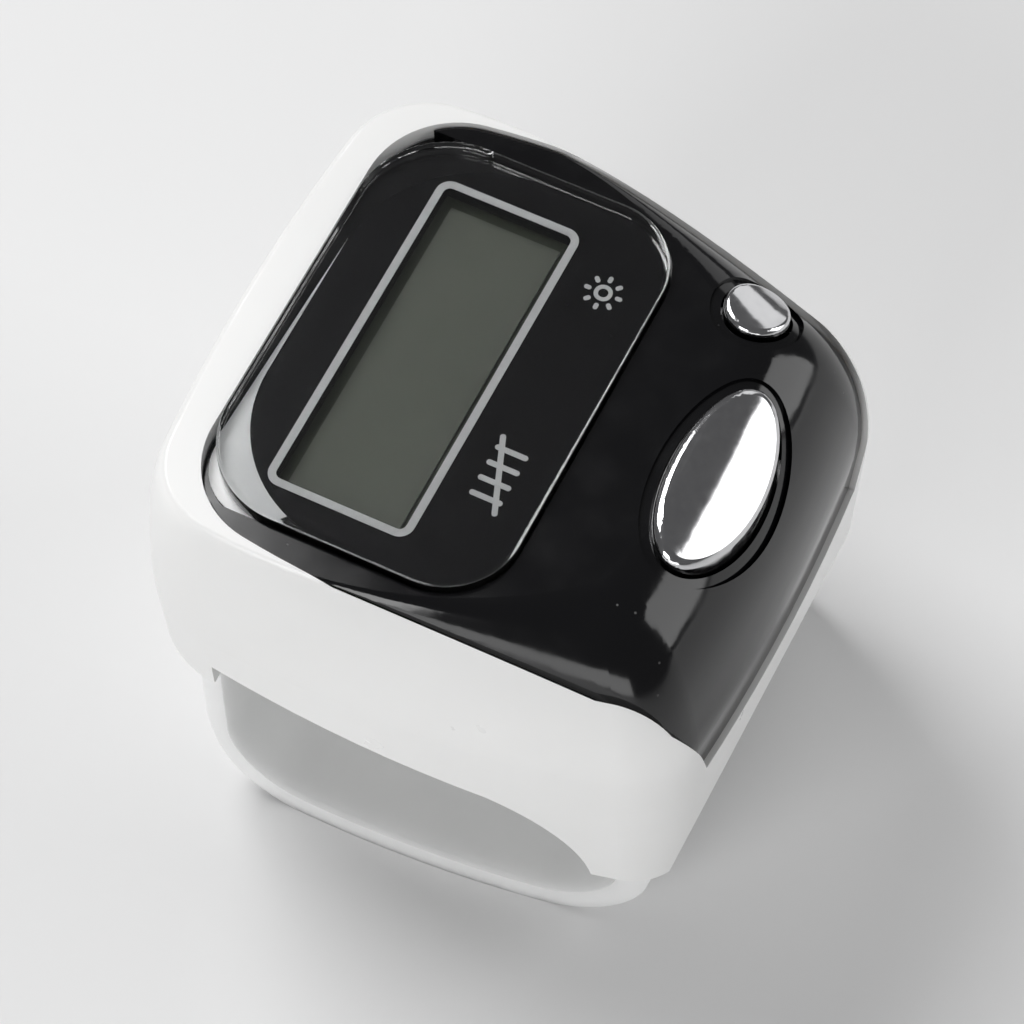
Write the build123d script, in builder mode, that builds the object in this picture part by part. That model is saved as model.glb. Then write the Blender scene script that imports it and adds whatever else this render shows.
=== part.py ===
import math
import os

from build123d import *

# Finger counter worn as a ring: X is the finger's axis, +Y runs from the buttons to the display, +Z is up.
# The origin is on the ground under the middle of the body. All lengths are in millimetres.

# Walls, fits and cuts
shell_wall = 1.8
fit_gap = 0.1
seat_gap = 0.05
slide_gap = 0.15
overrun = 5.0

# Two button cells side by side, which set the width of the body, and their wells
cell_diameter = 11.6
cell_height = 3.05
cell_cap_inset = 1.0
cell_cap_height = 0.35
cell_pitch_gap = 0.6
cell_gap = 0.2
ring_wall = 1.0
ring_drop = 0.15
floor_wall = 2.0

# Battery door in the roof of the finger opening, with the link that it carries
door_y = 2.0
door_side_lap = 0.7
door_end_lap = 0.5
door_thickness = 1.1
door_corner_radius = 3.0
door_tab_width = 3.0
door_tab_reach = 0.8
door_tab_low = 0.3
door_tab_thickness = 0.6
door_screw_inset = 1.5
door_screw_bite = 3.0
link_lap = 5.8
link_width = 4.0
link_thickness = 0.2

# Spring contacts between the cells and the board
contact_height = 3.05
contact_thickness = 0.2
contact_width = 3.0
contact_length = 4.6
contact_bend_radius = 0.3
contact_foot = 1.2

# Finger opening: the height of its roof, its rise to the tail and the stubs that hold the band
roof_height = 14.2
roof_rise = 2.7
tail_lip = 2.2
tail_stub_rise = 0.8
tail_chin_in = 1.2
tail_chin_rise = 5.5
nose_stub_drop = 6.6
nose_arc_in = 1.7
nose_arc_drop = 2.6
nose_chin_in = 1.5
nose_chin_rise = 8.0

# Finger band, a U-shaped strap whose two legs slide up into the case
band_thickness = 1.6
band_corner_radius = 6.0
band_side_inset = 2.0
band_grip = 3.2
band_travel = 2.5
band_stop_gap = 0.3
slot_wall = 0.9
tail_wall = 3.2
nose_wall = 2.6

# Screws with their bosses, and the tongue that holds the tail of the black shell
screw_diameter = 1.5
screw_head_diameter = 2.8
screw_head_height = 0.9
screw_gap = 0.05
boss_diameter = 2.9
case_screw_clear = 1.65
case_screw_seat = 0.8
case_screw_bite = 5.0
board_screw_side = 2.1
board_screw_ahead = 3.3
board_screw_bite = 2.2
tongue_half_width = 2.0
tongue_thickness = 0.8
tongue_reach = 0.7
tongue_drop = 1.6

# Count button, oval, and light button, round; both press straight down
count_length = 10.9
count_width = 4.8
count_proud = 0.6
count_edge_radius = 0.5
light_diameter = 3.4
light_inset = 5.5
light_ahead = 2.3
light_proud = 0.4
light_edge_radius = 0.3
top_slant_share = 0.1
flange_width = 0.4
flange_thickness = 0.6
flange_clear = 0.1
collar_width = 0.7
collar_depth = 0.2
stem_diameter = 2.2
button_travel = 0.5

# Tact switches under the buttons
count_switch_shift = 1.2
count_switch_length = 6.0
count_switch_width = 2.8
count_plunger_diameter = 2.4
light_switch_shift = 0.8
light_switch_length = 3.2
light_switch_width = 2.6
light_plunger_diameter = 1.6
switch_height = 1.1
switch_floor = 0.3
plunger_rise = 0.5
plunger_sink = 0.25

# Outer form of the body at its widest level: room at the sides and nose, and how far its corners draw in
side_room = 3.3
widest_y = 4.0
nose_lip = 2.1
tail_corner_in = 0.6
tail_corner_back = 0.9
tail_corner_radius = 5.5
nose_corner_in = 2.6
nose_corner_back = 0.7
nose_corner_radius = 4.0
# How far the deck draws in from that outline, by side, over what height and in how many sections
side_round = 1.6
tail_round = 1.3
nose_round = 6.0
nose_side_round = 5.0
round_height = 10.0
round_steps = 5
# How far the walls draw in below the widest level
lower_draw_in = 0.6

# Black face let into the white case: its rim, its corners and its outline where it wraps down over the nose
rim_width = 1.3
tail_rim = 3.3
face_recess = 0.3
face_tail_in = 2.6
face_corner_radius = 5.0
face_nose_in = 4.2
face_low_in = 3.6
face_low_drop = 12.8
face_side_in = 1.1
face_side_drop = 5.6
face_top_drop = 0.3
face_wrap_reach = 6.0
face_skirt_drop = 2.6
ledge_width = 0.6

# Display lens with the printed film behind it
lens_margin = 3.1
lens_ahead = 2.8
lens_corner_radius = 4.0
lens_thickness = 1.2
lens_proud = 0.3
lens_bevel = 0.45
film_thickness = 0.1
film_gap = 0.05
film_inset = 0.35
film_tail_inset = 0.7
film_tail_radius = 7.5

# Display glass and the stack under it, from the board up
glass_margin = 1.9
glass_tail_gap = 3.2
glass_depth = 8.9
window_side_lap = 0.7
window_end_lap = 0.85
window_shift = 0.15
view_margin = 0.5
board_thickness = 0.8
board_gap = 0.3
board_nose_gap = 3.0
cavity_lip = 0.7
cavity_step = 1.2
cavity_nose_run = 2.0
cavity_nose_floor = 3.4
reflector_thickness = 0.1
guide_thickness = 1.1
polariser_thickness = 0.2
polariser_inset = 0.4
rear_glass_thickness = 0.7
front_glass_thickness = 0.8
stack_gap = 0.1
contact_ledge = 1.8
holder_wall = 0.8
holder_gap = 0.1
zebra_width = 1.2
zebra_inset = 1.0

# Small parts on the board
led_length = 0.8
led_width = 1.6
led_height = 0.6
chip_side = 4.6
chip_ahead = 4.2
chip_diameter = 4.6
chip_height = 1.0
chip_edge_radius = 0.7
passive_gap = 1.55
passive_spacing = 3.2
passive_ahead = 3.8
passive_length = 1.6
passive_width = 0.8
passive_height = 0.45

os.makedirs("parts", exist_ok=True)

# Places across the body, from the cells out to the walls
cell_spacing = cell_diameter + cell_pitch_gap
widest_half = cell_spacing / 2 + cell_diameter / 2 + side_room
tail_corner_x = widest_half - tail_corner_in
nose_corner_x = widest_half - nose_corner_in
lens_half_width = widest_half - lens_margin
glass_width = 2 * (lens_half_width - glass_margin)
window_width = glass_width - 2 * window_side_lap
light_x = widest_half - light_inset
light_switch_x = light_x - light_switch_shift
board_screw_x = lens_half_width - board_screw_side
door_length = cell_spacing + cell_diameter + 2 * (cell_gap + door_side_lap)
link_length = cell_spacing + link_lap

# Places along the body, from the battery door out to the nose and the tail
door_width = cell_diameter + 2 * (cell_gap + door_end_lap)
tunnel_mid_y = door_y - door_width / 2
case_screw_y = tunnel_mid_y - case_screw_clear
count_y = case_screw_y - boss_diameter / 2 - flange_clear - flange_width - count_width / 2
nose_reach = nose_lip + count_width / 2 - count_y
nose_corner_y = nose_reach - nose_corner_back
band_nose_y = nose_wall - nose_reach
nose_stub_y = band_nose_y + band_thickness + slot_wall
light_y = count_y + light_ahead
lens_nose_y = light_y + light_diameter / 2 + lens_ahead
count_switch_y = count_y + count_switch_shift
tail_stub_y = door_y + door_width / 2 + tail_lip
band_tail_y = tail_stub_y + slot_wall + band_thickness
tail_reach = band_tail_y + tail_wall
tail_corner_y = tail_reach - tail_corner_back
face_tail_y = tail_reach - tail_rim
glass_tail_y = face_tail_y - glass_tail_gap
glass_nose_y = glass_tail_y - glass_depth
glass_y = (glass_tail_y + glass_nose_y) / 2
rear_nose_y = glass_nose_y + contact_ledge
rear_y = (glass_tail_y + rear_nose_y) / 2
rear_depth = glass_tail_y - rear_nose_y
window_y = glass_y + window_shift
window_height = glass_depth - 2 * window_end_lap
board_screw_y = glass_nose_y - board_screw_ahead
cavity_tail_y = door_y + door_width / 2 + cavity_lip
cavity_nose_y = tunnel_mid_y - cavity_nose_run

# Levels, from the roof of the finger opening up to the deck
tail_stub_z = roof_height + tail_stub_rise
nose_stub_z = roof_height - nose_stub_drop
tunnel_tail_z = roof_height + roof_rise
tunnel_rise_share = roof_rise / (tail_stub_y - tunnel_mid_y)
tunnel_slope = math.atan(tunnel_rise_share)
door_z = roof_height + (door_y - tunnel_mid_y) * tunnel_rise_share
door_plane = Plane(origin=(0, door_y, door_z), x_dir=(1, 0, 0), z_dir=(0, -tunnel_rise_share, 1))
door_screw_y = door_width / 2 - door_screw_inset
cell_low = door_thickness + link_thickness
cell_places = [(-cell_spacing / 2, 0), (cell_spacing / 2, 0)]
ring_rise = cell_low + cell_height - ring_drop
case_screw_seat_z = roof_height + case_screw_seat
cavity_nose_z = roof_height + cavity_nose_floor
board_low = door_z + cell_low + cell_height + cell_diameter / 2 * tunnel_rise_share + contact_height
board_top = board_low + board_thickness
cavity_step_z = board_low - cavity_step
guide_low = board_top + reflector_thickness
rear_polariser_low = guide_low + guide_thickness
rear_glass_low = rear_polariser_low + polariser_thickness
front_glass_low = rear_glass_low + rear_glass_thickness
front_polariser_low = front_glass_low + front_glass_thickness
display_top = front_polariser_low + polariser_thickness
shell_low = display_top + stack_gap
deck_height = shell_low + shell_wall
girth_height = deck_height - round_height
lens_low = deck_height + lens_proud - lens_thickness
film_low = lens_low - film_gap - film_thickness
tongue_low_z = shell_low - tongue_drop
switch_top = board_top + switch_height
plunger_top = switch_top + plunger_rise
plunger_low = switch_top - plunger_sink
button_low = switch_top + button_travel + seat_gap
hole_low = switch_top - button_travel - slide_gap


def outline(side, tail, nose, nose_side):
    """Return the body's plan outline, drawn in at the sides, tail and nose and across the nose corners."""
    tail_point = (tail_corner_x - side, tail_corner_y - tail)
    nose_point = (nose_corner_x - nose_side, nose - nose_corner_y)
    with BuildSketch() as plan:
        with BuildLine():
            right = ThreePointArc(nose_point, (widest_half - side, widest_y), tail_point)
            ThreePointArc(tail_point, (0, tail_reach - tail), (-tail_point[0], tail_point[1]))
            mirror(right, about=Plane.YZ)
            ThreePointArc((-nose_point[0], nose_point[1]), (0, nose - nose_reach), nose_point)
        make_face()
        tail_radius = tail_corner_radius - min(side, tail)
        fillet(plan.vertices().group_by(Axis.Y)[-1], tail_radius)
        nose_radius = nose_corner_radius - min(side, nose)
        fillet(plan.vertices().group_by(Axis.Y)[0], nose_radius)
    return plan.sketch


def upper_body(inset):
    """Return the rounded upper body, from the widest level to the deck, drawn in all round by inset."""
    with BuildPart() as body:
        for step in range(round_steps + 1):
            angle = math.radians(90 * step / round_steps)
            draw_in = 1 - math.sin(angle)
            level = girth_height + (round_height - inset) * math.cos(angle)
            with BuildSketch(Plane.XY.offset(level)):
                add(outline(inset + (side_round - inset) * draw_in, inset + (tail_round - inset) * draw_in,
                            inset + (nose_round - inset) * draw_in,
                            inset + (nose_side_round - inset) * draw_in))
        loft()
    return body.part


def body(inset):
    """Return the whole body without its openings, drawn in all round by inset."""
    low_inset = inset + lower_draw_in
    with BuildPart() as whole:
        with BuildSketch(Plane.XY.offset(nose_stub_z)):
            add(outline(low_inset, low_inset, low_inset, low_inset))
        with BuildSketch(Plane.XY.offset(girth_height)):
            add(outline(inset, inset, inset, inset))
        loft(ruled=True)
        add(upper_body(inset))
    return whole.part


def face_plan(grow):
    """Return the black face seen from above, grown by the given amount; it runs out past the nose."""
    tail_point = (widest_half - face_tail_in + grow, face_tail_y + grow)
    side_point = (widest_half - rim_width + grow, widest_y)
    nose_point = (nose_corner_x - face_nose_in + grow, -nose_reach - overrun)
    with BuildSketch() as plan:
        with BuildLine():
            right = ThreePointArc(nose_point, side_point, tail_point)
            Line(tail_point, (-tail_point[0], tail_point[1]))
            mirror(right, about=Plane.YZ)
            Line((-nose_point[0], nose_point[1]), nose_point)
        make_face()
        fillet(plan.vertices().group_by(Axis.Y)[-1], face_corner_radius + grow)
    return plan.sketch


def face_block(grow):
    """Return the block of space that the black shell takes up, grown by the given amount."""
    wide_half = widest_half + overrun
    low_z = deck_height - face_low_drop - grow
    side_z = deck_height - face_side_drop
    top_z = deck_height - face_top_drop
    skirt_z = deck_height - face_skirt_drop - grow
    wrap_y = face_wrap_reach - nose_reach + grow
    high_z = deck_height + overrun
    far_y = tail_reach + overrun
    near_y = -nose_reach - overrun
    low_point = (nose_corner_x - face_low_in + grow, low_z)
    side_point = (nose_corner_x - face_side_in + grow, side_z)
    top_point = (widest_half - rim_width + grow, top_z)
    with BuildPart() as block:
        with BuildSketch(Plane.XY.offset(low_z)):
            add(face_plan(grow))
        extrude(amount=high_z - low_z)
        # Outline seen from the nose, narrowing downward in a slow curve
        with BuildSketch(Plane.XZ):
            with BuildLine():
                right = ThreePointArc(low_point, side_point, top_point)
                mirror(right, about=Plane.YZ)
                Polyline(top_point, (wide_half, top_z), (wide_half, high_z), (-wide_half, high_z),
                         (-wide_half, top_z), (-top_point[0], top_z))
                Line((-low_point[0], low_z), low_point)
            make_face()
        extrude(amount=far_y, both=True, mode=Mode.INTERSECT)
        # Outline seen from the side, which keeps the skirt of the shell short behind the nose
        with BuildSketch(Plane.YZ):
            with BuildLine():
                Polyline((near_y, low_z), (wrap_y, low_z), (wrap_y, side_z),
                         (lens_nose_y + grow, skirt_z), (far_y, skirt_z), (far_y, high_z),
                         (near_y, high_z), close=True)
            make_face()
        extrude(amount=wide_half, both=True, mode=Mode.INTERSECT)
    return block.part


def lens_plan(inset):
    """Return the lens seen from above: it fills the tail of the black face and has a straight nose edge."""
    half_width = lens_half_width - inset
    nose_y = lens_nose_y + inset
    with BuildSketch() as plan:
        with BuildLine():
            Polyline((-half_width, tail_reach), (-half_width, nose_y), (half_width, nose_y),
                     (half_width, tail_reach), close=True)
        make_face()
        fillet(plan.vertices().group_by(Axis.Y)[0], lens_corner_radius - inset)
        add(face_plan(-fit_gap - inset), mode=Mode.INTERSECT)
    return plan.sketch


def cap_plan(length, width, centre):
    """Return a button's oval outline, seen from above."""
    with BuildSketch() as plan:
        with Locations(centre):
            Ellipse(length / 2, width / 2)
    return plan.sketch


def column(plan, low):
    """Return a plan outline extruded from the given level past the deck."""
    with BuildPart() as block:
        with BuildSketch(Plane.XY.offset(low)):
            add(plan)
        extrude(amount=deck_height + overrun - low)
    return block.part


def button(length, width, centre, switch_plan, switch_centre, proud, edge_radius):
    """Return a button cap that follows the body's curve, with the flange that keeps it under the shell."""
    flange_top = shell_wall + slide_gap
    flange_grow = flange_width + flange_width
    with BuildPart() as cap:
        add(column(cap_plan(length, width, centre), switch_top))
        add(body(face_recess - proud), mode=Mode.INTERSECT)
        tops = cap.faces().filter_by(lambda face: face.normal_at().Z > top_slant_share)
        rim = [edge for edge in cap.edges() if sum(edge in face.edges() for face in tops) == 1]
        fillet(rim, edge_radius)
    with BuildPart() as flange:
        add(column(cap_plan(length + flange_grow, width + flange_grow, centre), button_low))
        add(body(flange_top), mode=Mode.INTERSECT)
    with BuildPart() as stem:
        with BuildSketch(Plane.XY.offset(plunger_top)):
            with Locations(switch_centre):
                Circle(stem_diameter / 2)
        extrude(amount=shell_low - plunger_top)
    with BuildPart() as whole:
        add(cap.part)
        add(flange.part)
        add(body(flange_top + flange_thickness), mode=Mode.SUBTRACT)
        with BuildSketch(Plane.XY.offset(button_low)):
            with Locations(switch_centre):
                Rectangle(*switch_plan)
        extrude(amount=-button_travel - overrun, mode=Mode.SUBTRACT)
        add(stem.part)
    return whole.part


def screw(place, low, bite):
    """Return a plain screw with its head's underside facing up at the given level."""
    with BuildPart() as fastener:
        with BuildSketch(Plane.XY.offset(low)):
            with Locations(place):
                Circle(screw_head_diameter / 2)
        extrude(amount=screw_head_height)
        with BuildSketch(Plane.XY.offset(low + screw_head_height)):
            with Locations(place):
                Circle(screw_diameter / 2)
        extrude(amount=bite)
    return fastener.part


# Finger band: a U-shaped strap, as wide as the body's outline less an inset
tail_leg_top = tail_stub_z + band_grip
nose_leg_top = nose_stub_z + band_grip
band_tail_in = band_tail_y - band_thickness
band_nose_in = band_nose_y + band_thickness
with BuildPart() as finger_band:
    with BuildSketch(Plane.YZ):
        with BuildLine():
            FilletPolyline((band_tail_y, tail_leg_top), (band_tail_y, 0), (band_nose_y, 0),
                           (band_nose_y, nose_leg_top), radius=band_corner_radius)
            Line((band_nose_y, nose_leg_top), (band_nose_in, nose_leg_top))
            FilletPolyline((band_nose_in, nose_leg_top), (band_nose_in, band_thickness),
                           (band_tail_in, band_thickness), (band_tail_in, tail_leg_top),
                           radius=band_corner_radius - band_thickness)
            Line((band_tail_in, tail_leg_top), (band_tail_y, tail_leg_top))
        make_face()
    extrude(amount=widest_half, both=True)
    add(column(outline(band_side_inset, 0, 0, band_side_inset), 0), mode=Mode.INTERSECT)
finger_band.part.label = "finger_band"
export_step(finger_band.part, "parts/finger_band.step")

# Black shell: the skin of the body inside the face's outline, with its openings, bosses and tail tongue
tongue_y = face_tail_y - ledge_width - fit_gap
with BuildPart() as top_shell:
    add(body(face_recess))
    add(face_block(-fit_gap), mode=Mode.INTERSECT)
    add(body(shell_wall), mode=Mode.SUBTRACT)
    # Recess for the lens, open at the tail, and the display window in its floor
    with BuildSketch(Plane.XY.offset(film_low)):
        with BuildLine():
            recess_half = lens_half_width + fit_gap
            recess_nose = lens_nose_y - fit_gap
            Polyline((-recess_half, tail_reach), (-recess_half, recess_nose), (recess_half, recess_nose),
                     (recess_half, tail_reach), close=True)
        recess = make_face()
        fillet(recess.vertices().group_by(Axis.Y)[0], lens_corner_radius + fit_gap)
    extrude(amount=lens_thickness + overrun, mode=Mode.SUBTRACT)
    with BuildSketch(Plane.XY.offset(film_low + overrun)):
        with Locations((0, window_y)):
            Rectangle(window_width, window_height)
    extrude(amount=-shell_wall - overrun, mode=Mode.SUBTRACT)
    # Bosses for the case screw and the board screws
    with BuildSketch(Plane.XY.offset(cavity_nose_z + fit_gap)):
        with Locations((0, case_screw_y)):
            Circle(boss_diameter / 2)
    extrude(amount=shell_low + seat_gap - cavity_nose_z)
    with BuildSketch(Plane.XY.offset(board_top)):
        with Locations((board_screw_x, board_screw_y), (-board_screw_x, board_screw_y)):
            Circle(boss_diameter / 2)
    extrude(amount=shell_low + seat_gap - board_top)
    with BuildSketch(Plane.XY.offset(cavity_nose_z - fit_gap)):
        with Locations((0, case_screw_y)):
            Circle(screw_diameter / 2 + screw_gap)
    extrude(amount=case_screw_bite + fit_gap, mode=Mode.SUBTRACT)
    with BuildSketch(Plane.XY.offset(board_top - fit_gap)):
        with Locations((board_screw_x, board_screw_y), (-board_screw_x, board_screw_y)):
            Circle(screw_diameter / 2 + screw_gap)
    extrude(amount=board_screw_bite + fit_gap + screw_gap, mode=Mode.SUBTRACT)
    # Tongue that hooks under the rim at the tail
    with BuildSketch(Plane.XY.offset(tongue_low_z)):
        with Locations((0, tongue_y - fit_gap - tongue_thickness / 2)):
            Rectangle(2 * tongue_half_width, tongue_thickness)
    extrude(amount=shell_low + seat_gap - tongue_low_z)
    with BuildSketch(Plane.XY.offset(tongue_low_z)):
        with Locations((0, tongue_y - fit_gap + tongue_reach / 2)):
            Rectangle(2 * tongue_half_width, tongue_reach)
    extrude(amount=tongue_thickness)
    # Button holes, each in a shallow dished collar
    hole_grow = 2 * slide_gap
    collar_grow = 2 * collar_width
    for length, width, centre in ((count_length, count_width, (0, count_y)),
                                  (light_diameter, light_diameter, (light_x, light_y))):
        collar = column(cap_plan(length + collar_grow, width + collar_grow, centre), girth_height)
        add(collar - body(face_recess + collar_depth), mode=Mode.SUBTRACT)
        add(column(cap_plan(length + hole_grow, width + hole_grow, centre), hole_low), mode=Mode.SUBTRACT)
top_shell.part.label = "top_shell"
export_step(top_shell.part, "parts/top_shell.step")

# White case: the body, less the finger opening, the black face's pocket and the inside
floor_mid_z = roof_height + floor_wall / math.cos(tunnel_slope)
floor_tail_z = floor_mid_z + (cavity_tail_y - tunnel_mid_y) * tunnel_rise_share
with BuildPart() as cavity:
    add(body(shell_wall + seat_gap))
    add(column(face_plan(-ledge_width), 0), mode=Mode.INTERSECT)
    with BuildSketch(Plane.YZ):
        with BuildLine():
            Polyline((tunnel_mid_y, floor_mid_z), (cavity_tail_y, floor_tail_z),
                     (cavity_tail_y, cavity_step_z), (tail_reach, cavity_step_z),
                     (tail_reach, deck_height), (-nose_reach, deck_height), (-nose_reach, cavity_nose_z),
                     (cavity_nose_y, cavity_nose_z), close=True)
        make_face()
    extrude(amount=widest_half + overrun, both=True, mode=Mode.INTERSECT)

with BuildPart() as battery_rings:
    with BuildSketch(door_plane):
        with Locations(*cell_places):
            Circle(cell_diameter / 2 + cell_gap + ring_wall)
        with Locations((0, door_screw_y)):
            Circle(boss_diameter / 2)
    extrude(amount=ring_rise)

with BuildPart() as lower_case:
    add(body(0))
    add(face_block(0) - body(shell_wall + seat_gap), mode=Mode.SUBTRACT)
    add(cavity.part, mode=Mode.SUBTRACT)
    add(battery_rings.part)
    # Finger opening, cut through along the finger, which also slants the tail and nose chins
    tail_chin_z = tail_stub_z + tail_chin_rise
    nose_chin_z = nose_stub_z + nose_chin_rise
    with BuildSketch(Plane.YZ):
        with BuildLine():
            Polyline((tail_reach + overrun, tail_chin_z), (tail_reach, tail_chin_z),
                     (tail_reach - tail_chin_in, tail_stub_z), (tail_stub_y, tail_stub_z),
                     (tail_stub_y, tunnel_tail_z), (tunnel_mid_y, roof_height))
            ThreePointArc((tunnel_mid_y, roof_height),
                          (nose_stub_y + nose_arc_in, roof_height - nose_arc_drop),
                          (nose_stub_y, nose_stub_z))
            Polyline((nose_stub_y, nose_stub_z), (nose_chin_in - nose_reach, nose_stub_z),
                     (-nose_reach, nose_chin_z), (-nose_reach - overrun, nose_chin_z),
                     (-nose_reach - overrun, 0), (tail_reach + overrun, 0),
                     (tail_reach + overrun, tail_chin_z))
        make_face()
    extrude(amount=widest_half + overrun, both=True, mode=Mode.SUBTRACT)
    # Slots for the legs of the band, deep enough for its travel
    slot_lift = band_grip + band_travel + band_stop_gap
    slot_half = band_thickness / 2 + slide_gap
    slot_inset = band_side_inset - slide_gap
    for leg_y, stub_z in ((band_tail_y - band_thickness / 2, tail_stub_z),
                          (band_nose_y + band_thickness / 2, nose_stub_z)):
        with BuildSketch(Plane.XY.offset(stub_z - overrun)):
            with Locations((0, leg_y)):
                Rectangle(2 * widest_half, 2 * slot_half)
            add(outline(slot_inset, 0, 0, slot_inset), mode=Mode.INTERSECT)
        extrude(amount=slot_lift + overrun, mode=Mode.SUBTRACT)
    # Battery door recess with its tab slots and link groove, then the wells and the door screw's bore
    with BuildSketch(door_plane.offset(-overrun)):
        RectangleRounded(door_length + 2 * fit_gap, door_width + 2 * fit_gap, door_corner_radius + fit_gap)
    extrude(amount=overrun + door_thickness + seat_gap, mode=Mode.SUBTRACT)
    with BuildSketch(door_plane.offset(door_tab_low - fit_gap)):
        with Locations((-cell_spacing / 2, -door_width / 2), (cell_spacing / 2, -door_width / 2)):
            Rectangle(door_tab_width + 2 * fit_gap, 2 * (door_tab_reach + fit_gap))
    extrude(amount=door_tab_thickness + 2 * fit_gap, mode=Mode.SUBTRACT)
    with BuildSketch(door_plane):
        Rectangle(link_length + 2 * fit_gap, link_width + 2 * fit_gap)
    extrude(amount=cell_low + fit_gap, mode=Mode.SUBTRACT)
    with BuildSketch(door_plane):
        with Locations(*cell_places):
            Circle(cell_diameter / 2 + cell_gap)
    extrude(amount=ring_rise + overrun, mode=Mode.SUBTRACT)
    with BuildSketch(door_plane):
        with Locations((0, door_screw_y)):
            Circle(screw_diameter / 2 + screw_gap)
    extrude(amount=door_thickness + door_screw_bite + fit_gap, mode=Mode.SUBTRACT)
    # Case screw's through hole and counterbore, from the roof of the finger opening
    with BuildSketch(Plane.XY.offset(case_screw_seat_z - overrun)):
        with Locations((0, case_screw_y)):
            Circle(screw_head_diameter / 2 + fit_gap)
    extrude(amount=overrun, mode=Mode.SUBTRACT)
    with BuildSketch(Plane.XY.offset(case_screw_seat_z)):
        with Locations((0, case_screw_y)):
            Circle(screw_diameter / 2 + screw_gap)
    extrude(amount=overrun, mode=Mode.SUBTRACT)
    # Groove for the shell's tail tongue
    with BuildSketch(Plane.XY.offset(tongue_low_z - fit_gap)):
        with Locations((0, tongue_y)):
            Rectangle(2 * (tongue_half_width + fit_gap), 2 * (tongue_reach + fit_gap))
    extrude(amount=tongue_thickness + 2 * fit_gap, mode=Mode.SUBTRACT)
lower_case.part.label = "lower_case"
export_step(lower_case.part, "parts/lower_case.step")

# Lens with its bevelled edge, and the printed film behind it with the display window
with BuildPart() as display_lens:
    with BuildSketch(Plane.XY.offset(lens_low)):
        add(lens_plan(0))
    extrude(amount=lens_thickness)
    chamfer(display_lens.faces().sort_by(Axis.Z)[-1].edges(), lens_bevel)
display_lens.part.label = "display_lens"
export_step(display_lens.part, "parts/display_lens.step")

film_half_width = lens_half_width - film_inset
film_nose_y = lens_nose_y + film_inset
film_tail_y = face_tail_y - fit_gap - film_tail_inset
with BuildPart() as printed_mask:
    with BuildSketch(Plane.XY.offset(film_low)) as film_sketch:
        with BuildLine():
            Polyline((-film_half_width, film_nose_y), (film_half_width, film_nose_y),
                     (film_half_width, film_tail_y), (-film_half_width, film_tail_y), close=True)
        make_face()
        fillet(film_sketch.vertices().group_by(Axis.Y)[-1], film_tail_radius)
        add(lens_plan(film_inset), mode=Mode.INTERSECT)
        with Locations((0, window_y)):
            Rectangle(window_width, window_height, mode=Mode.SUBTRACT)
    extrude(amount=film_thickness)
printed_mask.part.label = "printed_mask"
export_step(printed_mask.part, "parts/printed_mask.step")

# Buttons
count_well = (count_switch_length + 2 * slide_gap, count_switch_width + 2 * slide_gap)
count_button = button(count_length, count_width, (0, count_y), count_well, (0, count_switch_y), count_proud,
                      count_edge_radius)
count_button.label = "count_button"
export_step(count_button, "parts/count_button.step")

light_well = (light_switch_length + 2 * slide_gap, light_switch_width + 2 * slide_gap)
light_button = button(light_diameter, light_diameter, (light_x, light_y), light_well,
                      (light_switch_x, light_y), light_proud, light_edge_radius)
light_button.label = "light_button"
export_step(light_button, "parts/light_button.step")

# Tact switches: a base with a bore, and the plunger that the button presses
switches = (("count_switch", (0, count_switch_y), count_switch_length, count_switch_width,
             count_plunger_diameter),
            ("light_switch", (light_switch_x, light_y), light_switch_length, light_switch_width,
             light_plunger_diameter))
for switch_name, place, length, width, plunger_diameter in switches:
    with BuildPart() as switch_base:
        with BuildSketch(Plane.XY.offset(board_top)):
            with Locations(place):
                Rectangle(length, width)
        extrude(amount=switch_height)
        with BuildSketch(Plane.XY.offset(board_top + switch_floor)):
            with Locations(place):
                Circle(plunger_diameter / 2 + slide_gap)
        extrude(amount=switch_height, mode=Mode.SUBTRACT)
    switch_base.part.label = switch_name + "_base"
    export_step(switch_base.part, "parts/" + switch_name + "_base.step")
    with BuildPart() as plunger:
        with BuildSketch(Plane.XY.offset(plunger_low)):
            with Locations(place):
                Circle(plunger_diameter / 2)
        extrude(amount=plunger_rise + plunger_sink)
    plunger.part.label = switch_name + "_plunger"
    export_step(plunger.part, "parts/" + switch_name + "_plunger.step")

# Circuit board, cut to the inside of the body, with clearance for the case screw's boss
board_nose_y = board_nose_gap - nose_reach
with BuildPart() as circuit_board:
    with BuildSketch(Plane.XY.offset(board_low)):
        add(face_plan(-ledge_width - board_gap))
        with BuildLine():
            Polyline((-widest_half, board_nose_y), (widest_half, board_nose_y), (widest_half, tail_reach),
                     (-widest_half, tail_reach), close=True)
        make_face(mode=Mode.INTERSECT)
        with Locations((0, case_screw_y)):
            Circle(boss_diameter / 2 + board_gap, mode=Mode.SUBTRACT)
        with Locations((board_screw_x, board_screw_y), (-board_screw_x, board_screw_y)):
            Circle(screw_diameter / 2 + screw_gap, mode=Mode.SUBTRACT)
        with Locations((0, tongue_y)):
            Rectangle(2 * (tongue_half_width + board_gap), 2 * (tongue_thickness + board_gap + fit_gap),
                      mode=Mode.SUBTRACT)
    extrude(amount=board_thickness)
    add(body(shell_wall + board_gap), mode=Mode.INTERSECT)
circuit_board.part.label = "circuit_board"
export_step(circuit_board.part, "parts/circuit_board.step")

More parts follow.
